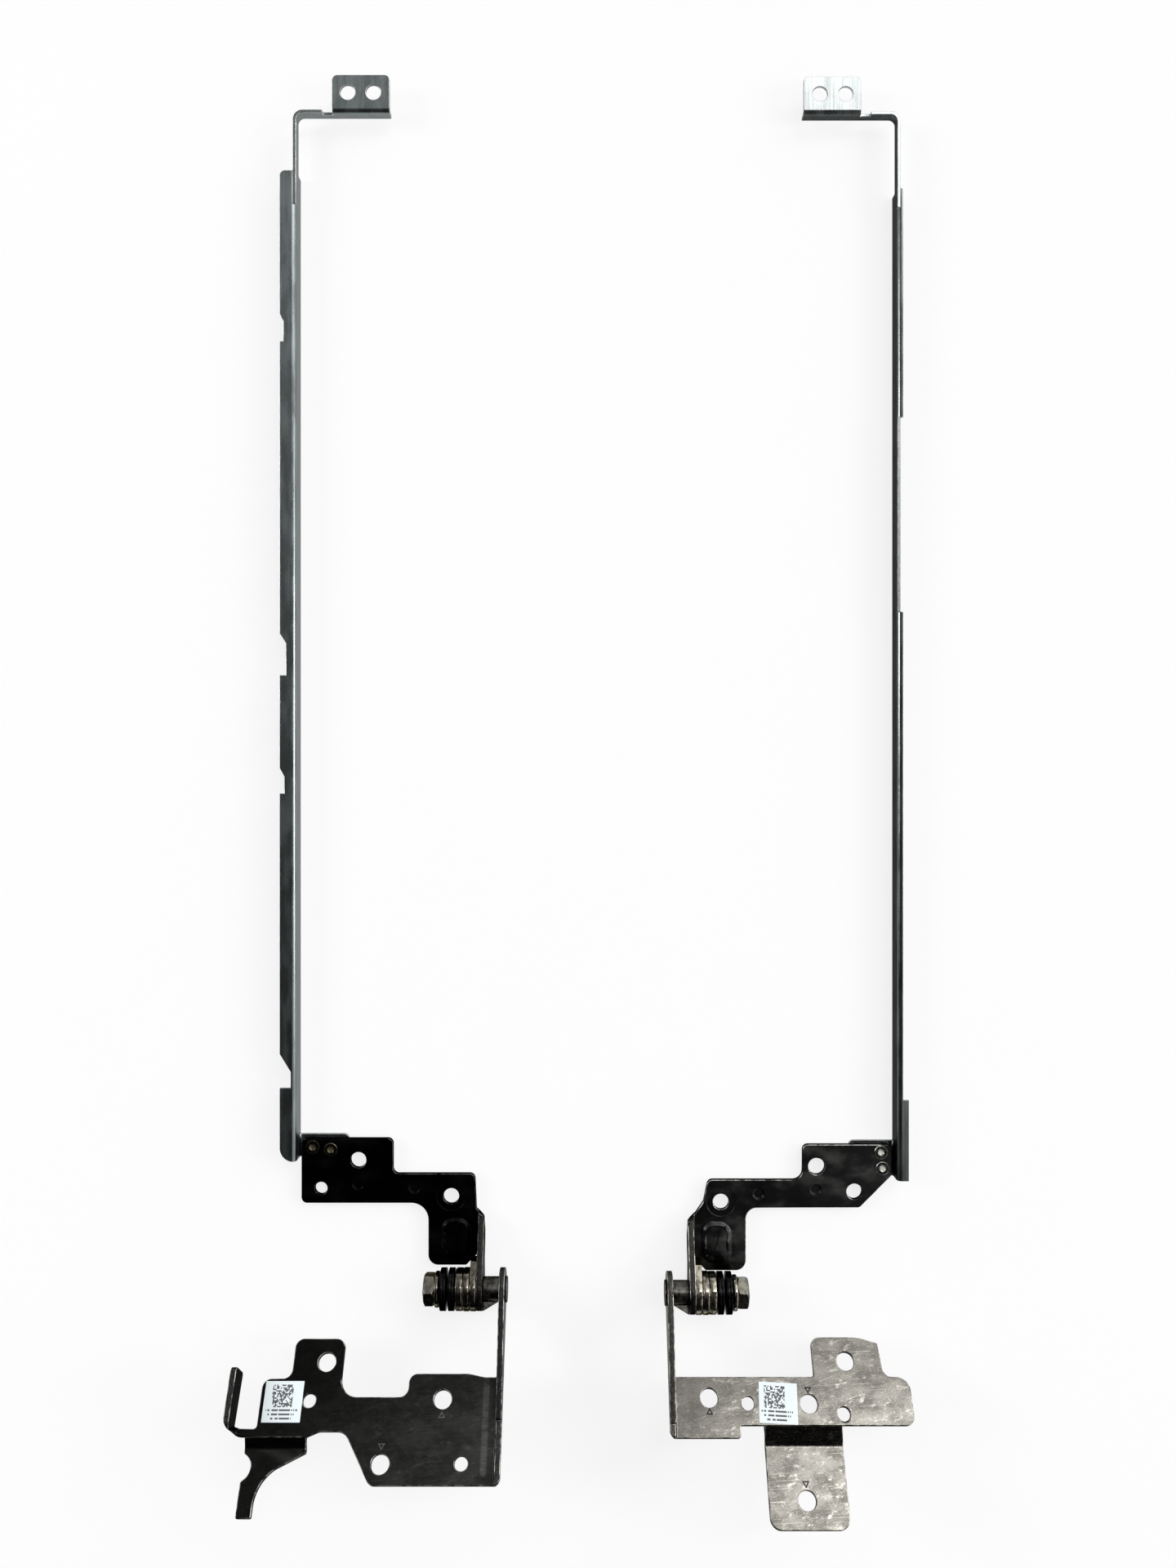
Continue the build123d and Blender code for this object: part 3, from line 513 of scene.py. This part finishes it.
def find_sheared(shape, tree, sheet):
    """Give the faces across a sheet's thickness the material of sheared faces."""
    for face in shape.faces:
        inward = -face.normal
        start = face.calc_center_median() + inward * RAY_START
        depth = tree.ray_cast(start, inward)[3]
        if depth is None or depth >= SHEARED_DEPTH * sheet:
            face.material_index = SHEARED
    waiting = {face for face in shape.faces if face.material_index == SHEARED}
    while waiting:
        patch = [waiting.pop()]
        for face in patch:
            around = {other for edge in face.edges for other in edge.link_faces} & waiting
            waiting -= around
            patch.extend(around)
        heights = [vertex.co.z for face in patch for vertex in face.verts]
        if max(heights) - min(heights) < SHEARED_HEIGHT * sheet:
            for face in patch:
                face.material_index = FACE


def deep(edge):
    """Whether an edge borders a deep step."""
    walls = [face for face in edge.link_faces if abs(face.normal.z) < UPRIGHT_LIMIT]
    heights = [vertex.co.z for face in walls for vertex in face.verts]
    return bool(walls) and max(heights) - min(heights) > DEEP_STEP


def round_edges(shape, tree, rounding, material, sheared=(True, False), depths=(True, False),
                low=SHARP_ANGLE, high=math.pi, segments=EDGE_SEGMENTS):
    """Round the edges whose faces stand at an angle between low and high.

    sheared says whether edges of sheared faces, other edges or both are taken,
    and depths whether edges of deep steps, other edges or both are.
    """
    sharp = []
    for edge in shape.edges:
        if edge.is_manifold and low < edge.calc_face_angle() <= high:
            beside = any(face.material_index == SHEARED for face in edge.link_faces)
            if beside in sheared and deep(edge) in depths:
                sharp.append(edge)
    bmesh.ops.bevel(shape, geom=sharp, offset=rounding, segments=segments, profile=0.5, affect="EDGES",
                    clamp_overlap=False, material=material)
    for vertex in shape.verts:
        nearest, _, _, distance = tree.find_nearest(vertex.co)
        if distance > rounding:
            vertex.co = nearest


def round_pressed(shape, tree, slopes, steps):
    """Round the slopes and the shallow and deep steps that are pressed into a sheet."""
    pressed = dict(material=FACE, sheared=(False,))
    shallow, deeper = steps
    round_edges(shape, tree, slopes, high=STEEP_ANGLE, segments=SLOPE_SEGMENTS, **pressed)
    round_edges(shape, tree, shallow, low=STEEP_ANGLE, segments=STEP_SEGMENTS, depths=(False,), **pressed)
    round_edges(shape, tree, deeper, low=STEEP_ANGLE, segments=SLOPE_SEGMENTS, depths=(True,), **pressed)


def dome_ribs(shape):
    """Raise the flat tops of the ribs in steps towards their middle."""
    level = [face for face in shape.faces if face.normal.z > LEVEL_LIMIT]
    plate = max(level, key=lambda face: face.calc_area()).calc_center_median().z
    low, high = RIB_HEIGHT
    crest = [face for face in level if low < face.calc_center_median().z - plate < high]
    crest = [face for face in crest if face.material_index == FACE]
    for rise in DOME_RISES:
        bmesh.ops.inset_region(shape, faces=crest, thickness=DOME_STEP, depth=rise, use_even_offset=True)


def put(shape, name, paints):
    """Object in the scene, made from a shape and its materials."""
    mesh = bpy.data.meshes.new(name)
    shape.to_mesh(mesh)
    shape.free()
    for paint in paints:
        mesh.materials.append(paint)
    piece = bpy.data.objects.new(name, mesh)
    bpy.context.scene.collection.objects.link(piece)
    return piece


def dress(node, paints, rounding, sheet=0.0, slopes=0.0, steps=(0.0, 0.0),
          flat=UP, upright=UPRIGHT_LIMIT, turn=0.0):
    """Copy of a CAD node with rounded edges, standing for it.

    paints are the finishes of its faces, of the sheared faces across a sheet's thickness,
    of its rounded edges and, if there is a fourth, a darker copy that paints shade on the faces folded away
    from the direction flat.
    The slopes and steps pressed into a sheet keep the finish of its faces and have their own rounding,
    steps one for shallow and one for deep ones. turn swings the copy about the hinge's axis.
    """
    shape = cad_shape(node, turn)
    tree = BVHTree.FromBMesh(shape)
    if sheet:
        find_sheared(shape, tree, sheet)
    bmesh.ops.dissolve_limit(shape, angle_limit=FLAT_ANGLE, verts=shape.verts, edges=shape.edges,
                             delimit={"MATERIAL"})
    if slopes:
        round_pressed(shape, tree, slopes, steps)
        round_edges(shape, tree, rounding, ROUNDED, sheared=(True,))
    else:
        round_edges(shape, tree, rounding, ROUNDED)
    shape.normal_update()
    if node.endswith("lid_bracket"):
        dome_ribs(shape)
        shape.normal_update()
    for face in shape.faces:
        face.smooth = True
        # Painted shade: faces turned away from the direction flat take the darker fourth paint
        if len(paints) > SHADED_FACE and face.material_index == FACE and abs(face.normal.dot(flat)) < upright:
            face.material_index = SHADED_FACE
    piece = put(shape, node + "_finished", paints)
    weighted = piece.modifiers.new("even_normals", "WEIGHTED_NORMAL")
    weighted.weight = NORMAL_WEIGHT
    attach(piece, BODIES[node])
    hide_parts(node)


# Finishes of the rails, as lit and shaded copies of one zinc plating: the right faces are darker, with
# painted shade, the right cut edges lighter, with a painted highlight, and the left rounded bends lighter,
# with a painted highlight, where the right ones are darker, with painted shade
RAIL_FACE = {
    "left": dict(dark=(0.2, 0.226, 0.231), light=(0.285, 0.316, 0.321), grazing=0.8, roughness=0.27),
    "right": dict(dark=(0.155, 0.168, 0.168), light=(0.255, 0.269, 0.269), grazing=0.8, roughness=0.21),
}
RAIL_CUT = {
    "left": dict(dark=(0.09, 0.1, 0.1), light=(0.24, 0.255, 0.255), roughness=0.32),
    "right": dict(dark=(0.3, 0.32, 0.32), light=(0.62, 0.64, 0.63), roughness=0.3),
}
RAIL_EDGE = {
    "left": dict(dark=(0.4, 0.43, 0.43), light=(0.7, 0.72, 0.71)),
    "right": dict(dark=(0.14, 0.15, 0.15), light=(0.3, 0.31, 0.31)),
}
# Webs: darker copies of the zinc, painted shade on the upright faces
RAIL_WEB_SHADE = {
    "left": dict(dark=(0.17, 0.187, 0.186), light=(0.25, 0.272, 0.27), grazing=0.6, roughness=0.28),
    "right": dict(dark=(0.055, 0.06, 0.06), light=(0.1, 0.105, 0.105), grazing=0.3, roughness=0.28),
}


def rail(hand):
    """Folded rail of zinc plated sheet, whose upright web gets a darker copy of the zinc as painted shade."""
    paints = (
        zinc("zinc_" + hand, **RAIL_FACE[hand]),
        cut_edge("zinc_cut_" + hand, **RAIL_CUT[hand]),
        worn_edge_and_highlight("zinc_edge_" + hand, **RAIL_EDGE[hand]),
        zinc("web_shade_" + hand, **RAIL_WEB_SHADE[hand]),
    )
    dress(hand + "_rail", paints, RAIL_ROUNDING, RAIL_SHEET)


# Finishes of the lid brackets, as lit and shaded copies of one black oxide: the left faces and edges are
# darker, with painted shade
LID_FACE = {
    "left": dict(tone=(0.006, 0.006, 0.0065), haze=(0.016, 0.016, 0.017)),
    "right": dict(tone=(0.034, 0.034, 0.034), haze=(0.125, 0.122, 0.118)),
}
LID_CUT = dict(dark=(0.005, 0.005, 0.0045), light=(0.04, 0.037, 0.032), roughness=0.28)
LID_EDGE = {
    "left": dict(dark=(0.006, 0.006, 0.006), light=(0.1, 0.098, 0.094)),
    "right": dict(dark=(0.03, 0.03, 0.03), light=(0.4, 0.392, 0.375)),
}


def lid_bracket(hand, cut):
    """Folded black bracket with pressed ribs, steps and dimples."""
    paints = (
        black_oxide("oxide_" + hand, **LID_FACE[hand]),
        cut,
        worn_edge_and_highlight("oxide_edge_" + hand, **LID_EDGE[hand]),
    )
    dress(hand + "_lid_bracket", paints, PLATE_ROUNDING, LID_SHEET,
          SLOPE_ROUNDING, (STEP_ROUNDING, DIMPLE_ROUNDING))


# Finishes of the base plates. The first colour of each is that of the painted shade towards the upper edge
# and the left end
BASE_FACE = {
    "left": dict(painted_shade=(0.003, 0.003, 0.0028), deep=(0.019, 0.019, 0.018), plain=(0.034, 0.034, 0.032),
                 bright=(0.09, 0.09, 0.084), roughness=0.34, scuffs=0.35, sheen_band=-16.7),
    "right": dict(painted_shade=(0.09, 0.085, 0.077), deep=(0.13, 0.123, 0.111), plain=(0.29, 0.276, 0.249),
                  bright=(0.76, 0.73, 0.65), roughness=0.27, scuffs=0.8),
}
BASE_CUT = {
    "left": dict(dark=(0.008, 0.008, 0.007), light=(0.06, 0.06, 0.056), roughness=0.28),
    "right": dict(dark=(0.01, 0.0095, 0.0085), light=(0.1, 0.095, 0.085), roughness=0.3),
}
BASE_EDGE = {
    "left": dict(dark=(0.03, 0.03, 0.029), light=(0.3, 0.3, 0.285)),
    "right": dict(dark=(0.04, 0.038, 0.034), light=(0.42, 0.402, 0.365)),
}
# Folds: darker copies of the plates' finish, for painted shade on the faces turned away from the plates
BASE_FOLD_SHADE = {
    "left": dict(painted_shade=(0.01, 0.01, 0.0095), deep=(0.01, 0.01, 0.0095), plain=(0.024, 0.024, 0.0225),
                 bright=(0.06, 0.06, 0.056), roughness=0.3, scuffs=0.35),
    "right": dict(painted_shade=(0.008, 0.0075, 0.007), deep=(0.008, 0.0075, 0.007), plain=(0.022, 0.021, 0.019),
                  bright=(0.2, 0.19, 0.17), roughness=0.26, scuffs=0.4),
}


def base_plate(hand):
    """Folded base plate, whose folds get a darker copy of its finish as painted shade."""
    paints = (
        base_steel("base_" + hand, ends=SHADE_LEFT[hand], **BASE_FACE[hand]),
        cut_edge("base_cut_" + hand, **BASE_CUT[hand]),
        worn_edge_and_highlight("base_edge_" + hand, **BASE_EDGE[hand]),
        base_steel("fold_shade_" + hand, ends=SHADE_LEFT[hand], **BASE_FOLD_SHADE[hand]),
    )
    dress(hand + "_base_plate", paints, PLATE_ROUNDING, BASE_SHEET,
          BEND_ROUNDING, (BEND_ROUNDING, BEND_ROUNDING), BASE_NORMAL, FOLD_LIMIT)


def sheets():
    """Rails, lid brackets and base plates, with their sheared and rounded edges."""
    oxide_cut = cut_edge("oxide_cut", **LID_CUT)
    for hand in HANDS:
        rail(hand)
        lid_bracket(hand, oxide_cut)
        base_plate(hand)


# Finishes of the rivets: the right dimples and rims are near white, with a painted highlight, and the left
# ones are darker copies, with painted shade
RIVET_FACE = {
    "left": dict(dark=(0.012, 0.01, 0.007), light=(0.06, 0.052, 0.035), dimple=(0.12, 0.105, 0.07)),
    "right": dict(dark=(0.03, 0.03, 0.028), light=(0.1, 0.098, 0.09), dimple=(0.95, 0.93, 0.87)),
}
RIVET_RIM = {
    "left": dict(dark=(0.02, 0.018, 0.012), light=(0.2, 0.175, 0.115)),
    "right": dict(dark=(0.3, 0.295, 0.275), light=(0.9, 0.885, 0.83)),
}


def rivets(hand):
    """The two rivets that hold a rail and its bracket together."""
    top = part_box("left_rail_rivets")[1].z
    head = rivet_head("rivet_" + hand, top, **RIVET_FACE[hand])
    rim = worn_edge_and_highlight("rivet_rim_" + hand, **RIVET_RIM[hand])
    dress(hand + "_rail_rivets", (head, head, rim), RIVET_ROUNDING)


# Finishes of the pieces on the shafts, and the pieces. The left nuts and washers are darker copies of the
# right ones, with painted shade
NUT = {
    "left": dict(dark=(0.13, 0.124, 0.103), light=(0.24, 0.228, 0.192), roughness=0.14),
    "right": dict(dark=(0.14, 0.133, 0.11), light=(0.25, 0.238, 0.199), roughness=0.13),
}
WASHER = {
    "left": dict(dark=(0.05, 0.045, 0.035), light=(0.19, 0.175, 0.142), roughness=0.09),
    "right": dict(dark=(0.1, 0.091, 0.072), light=(0.36, 0.334, 0.273), roughness=0.09),
}
SPRING = dict(dark=(0.005, 0.005, 0.005), light=(0.013, 0.013, 0.013), roughness=0.2)
SHAFT = dict(dark=(0.03, 0.029, 0.026), light=(0.11, 0.105, 0.094), roughness=0.24)
SPRINGS = [f"spring_disc_{number}" for number in range(1, 5)]
WASHERS = ["lid_cam", "shaft_cam", "pressure_washer", "lock_washer"]


def stack():
    """Rivets, nuts, shafts, springs and washers."""
    spring = turned("spring_steel", **SPRING)
    shaft = turned("shaft_steel", **SHAFT)
    for hand in HANDS:
        rivets(hand)
        nut = turned("nut_" + hand, **NUT[hand])
        dress(hand + "_nut", (nut,) * 3, TURNED_ROUNDING, turn=BASE_LEAN)
        washer = turned("washer_" + hand, **WASHER[hand])
        finishes = {"shaft": shaft} | dict.fromkeys(SPRINGS, spring) | dict.fromkeys(WASHERS, washer)
        for kind, paint in finishes.items():
            dress(f"{hand}_{kind}", (paint,) * 3, TURNED_ROUNDING)


def labels():
    """Stickers on the base plates, the right one stuck on a little askew."""
    for hand in HANDS:
        turn = BASE_TURN @ Matrix.Rotation(LABEL_ASKEW[hand], 3, "Z")
        node = hand + "_label"
        film = label_film(node + "_film", node, turn, LABEL_SHIFT[hand])
        dress(node, (film,) * 3, LABEL_ROUNDING)


# Stamped triangles that point at screw holes: mount, distance from the hole along the plate, way it points
STAMPS = [
    ("left_base_hole_2", 2.75 * MM, -1),
    ("left_base_hole_3", -3.0 * MM, 1),
    ("right_base_hole_1", 2.45 * MM, -1),
    ("right_base_hole_2", -2.45 * MM, 1),
    ("right_tongue_hole", -2.7 * MM, 1),
]
STAMP_SIZE = 1.35 * MM
STAMP_LINE = 0.2 * MM
STAMP_PROUD = 0.012 * MM
STAMP_CORNERS = 3
# The stamps' colours paint the pressed outline's shade on the right plate and its highlight on the left one
STAMP_FACE = {
    "left": dict(dark=(0.06, 0.06, 0.056), light=(0.11, 0.11, 0.104), roughness=0.4),
    "right": dict(dark=(0.008, 0.0075, 0.007), light=(0.03, 0.028, 0.025), roughness=0.4),
}


def stamp_shape(centre, way):
    """Triangle outline that lies on a base plate and points down it, or up it if way is -1."""
    shape = bmesh.new()
    outside = STAMP_SIZE / math.sqrt(3)
    inside = outside - 2 * STAMP_LINE
    rings = []
    for height in (-STAMP_PROUD, STAMP_PROUD):
        for radius in (outside, inside):
            ring = []
            for corner in range(STAMP_CORNERS):
                angle = math.tau * corner / STAMP_CORNERS
                along = BASE_DOWN * (way * radius * math.cos(angle))
                across = Vector((radius * math.sin(angle), 0, 0))
                ring.append(shape.verts.new(centre + along + across + BASE_NORMAL * height))
            rings.append(ring)
    under_out, under_in, out, inner = rings
    for first, second in ((out, inner), (under_out, out), (inner, under_in), (under_in, under_out)):
        for corner in range(STAMP_CORNERS):
            after = (corner + 1) % STAMP_CORNERS
            shape.faces.new((first[corner], first[after], second[after], second[corner]))
    bmesh.ops.recalc_face_normals(shape, faces=shape.faces)
    return shape


def stamps():
    """Stamped triangle outlines beside the base plates' screw holes, whose colour paints the shade and light
    of the pressed outline.
    """
    paints = {hand: cut_edge("stamp_" + hand, **STAMP_FACE[hand]) for hand in HANDS}
    for mount, offset, way in STAMPS:
        hand = mount.split("_")[0]
        centre = Vector(MOUNTS[mount]["pos_m"]) + BASE_NORMAL * (BASE_SHEET / 2) + BASE_DOWN * offset
        piece = put(stamp_shape(centre, way), mount.replace("hole", "stamp"), [paints[hand]])
        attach(piece, hand + "_base")


def camera():
    data = bpy.data.cameras.new("camera")
    data.sensor_width = SENSOR
    data.lens = SENSOR * FOCAL_PIXELS / IMAGE_HEIGHT
    data.clip_start = CLIP_NEAR
    data.clip_end = CLIP_FAR
    eye = bpy.data.objects.new("camera", data)
    eye.location = CAMERA_PLACE
    bpy.context.scene.collection.objects.link(eye)
    bpy.context.scene.camera = eye


# Floor, in metres
FLOOR_SIZE = 60.0
FLOOR_HEIGHT = -0.05 * MM
FLOOR_GRAIN = dict(size=(0.02,) * 3, detail=2.0)
FLOOR_COLOURS = ((0.88, 0.88, 0.88), (0.9, 0.9, 0.9))
FLOOR_ROUGHNESS = 0.9
FLOOR_GLOW = 0.8


def floor():
    """White floor that shows as white to the camera and to reflections, with a faint shadow."""
    bpy.ops.mesh.primitive_plane_add(size=FLOOR_SIZE, location=(0, 0, FLOOR_HEIGHT))
    plane = bpy.context.object
    plane.name = "floor"
    paint = Paint("floor")
    colour = paint.mix(paint.noise(**FLOOR_GRAIN), *FLOOR_COLOURS)
    paint.set(base_color=colour, roughness=FLOOR_ROUGHNESS, specular_ior_level=0.0)
    seen = paint.node("ShaderNodeLightPath")
    shown = paint.math("MAXIMUM", seen.outputs["Is Camera Ray"], seen.outputs["Is Glossy Ray"])
    shown = paint.math("MAXIMUM", shown, seen.outputs["Is Transmission Ray"])
    glow = paint.node("ShaderNodeEmission")
    glow.inputs["Strength"].default_value = 1.0
    blend = paint.node("ShaderNodeMixShader")
    paint.feed(blend.inputs[0], paint.math("MULTIPLY", shown, FLOOR_GLOW))
    paint.feed(blend.inputs[1], paint.shader.outputs["BSDF"])
    paint.feed(blend.inputs[2], glow.outputs["Emission"])
    output = paint.tree.nodes["Material Output"]
    paint.feed(output.inputs["Surface"], blend.outputs["Shader"])
    plane.data.materials.append(paint.material)


# Studio light: a room that is dark at the lower side of the view and paler at its upper side,
# with a pale horizon, a pale panel to the lower right and a broad window to the upper right,
# brightest at its near side. Stretches are of the x, y and z of the direction that light comes from
ROOM_ALONG = (-0.25, 1.0)
ROOM_LEVELS = (0.025, 0.6)
HORIZON_UP = (0.12, 0.25)
HORIZON_LEVEL = 0.6
PANEL_ACROSS = (0.22, 0.27)
PANEL_ALONG = (-0.25, 0.0)
PANEL_LEVEL = 0.75
WINDOW_ACROSS = (0.06, 0.85)
WINDOW_ALONG = (0.435, 0.95)
WINDOW_FALL = (0.5, 0.62)
WINDOW_LEVELS = (8.0, 1.5)
WINDOW_SOFT = 0.03

# Lamps at both sides, in metres and watts
LAMPS = {"left_lamp": (-0.95, 0.25, 0.55), "right_lamp": (1.0, 0.05, 0.55)}
LAMP_SIZE = 0.4
LAMP_POWER = 5.5


def light():
    """World whose level depends on where the light comes from, and soft lamps."""
    world = bpy.data.worlds.new("studio")
    bpy.context.scene.world = world
    world.use_nodes = True
    sky = Nodes(world.node_tree)
    across, along, up = sky.split(sky.node("ShaderNodeTexCoord").outputs["Generated"])
    room = sky.range(along, *ROOM_ALONG, *ROOM_LEVELS)
    room = sky.math("MAXIMUM", room, sky.range(up, *HORIZON_UP, HORIZON_LEVEL, 0.0))
    panel = sky.range(across, *PANEL_ACROSS, 0.0, PANEL_LEVEL)
    panel = sky.math("MULTIPLY", panel, sky.range(along, *PANEL_ALONG, 1.0, 0.0))
    room = sky.math("ADD", room, panel)
    window = sky.range(along, *WINDOW_FALL, *WINDOW_LEVELS)
    for value, (low, high) in ((across, WINDOW_ACROSS), (along, WINDOW_ALONG)):
        window = sky.math("MULTIPLY", window, sky.range(value, low - WINDOW_SOFT, low + WINDOW_SOFT))
        window = sky.math("MULTIPLY", window, sky.range(value, high + WINDOW_SOFT, high - WINDOW_SOFT))
    background = sky.tree.nodes["Background"]
    sky.feed(background.inputs["Strength"], sky.math("ADD", room, window))
    background.inputs["Color"].default_value = (1, 1, 1, 1)
    for name, place in LAMPS.items():
        lamp(name, place)


def lamp(name, place):
    """Square soft lamp that faces the pair."""
    data = bpy.data.lights.new(name, "AREA")
    data.size = LAMP_SIZE
    data.energy = LAMP_POWER
    source = bpy.data.objects.new(name, data)
    source.location = place
    source.rotation_euler = (-Vector(place)).to_track_quat("-Z", "Y").to_euler()
    bpy.context.scene.collection.objects.link(source)


sheets()
stack()
labels()
stamps()
camera()
floor()
light()
bpy.context.scene.view_settings.view_transform = "Standard"
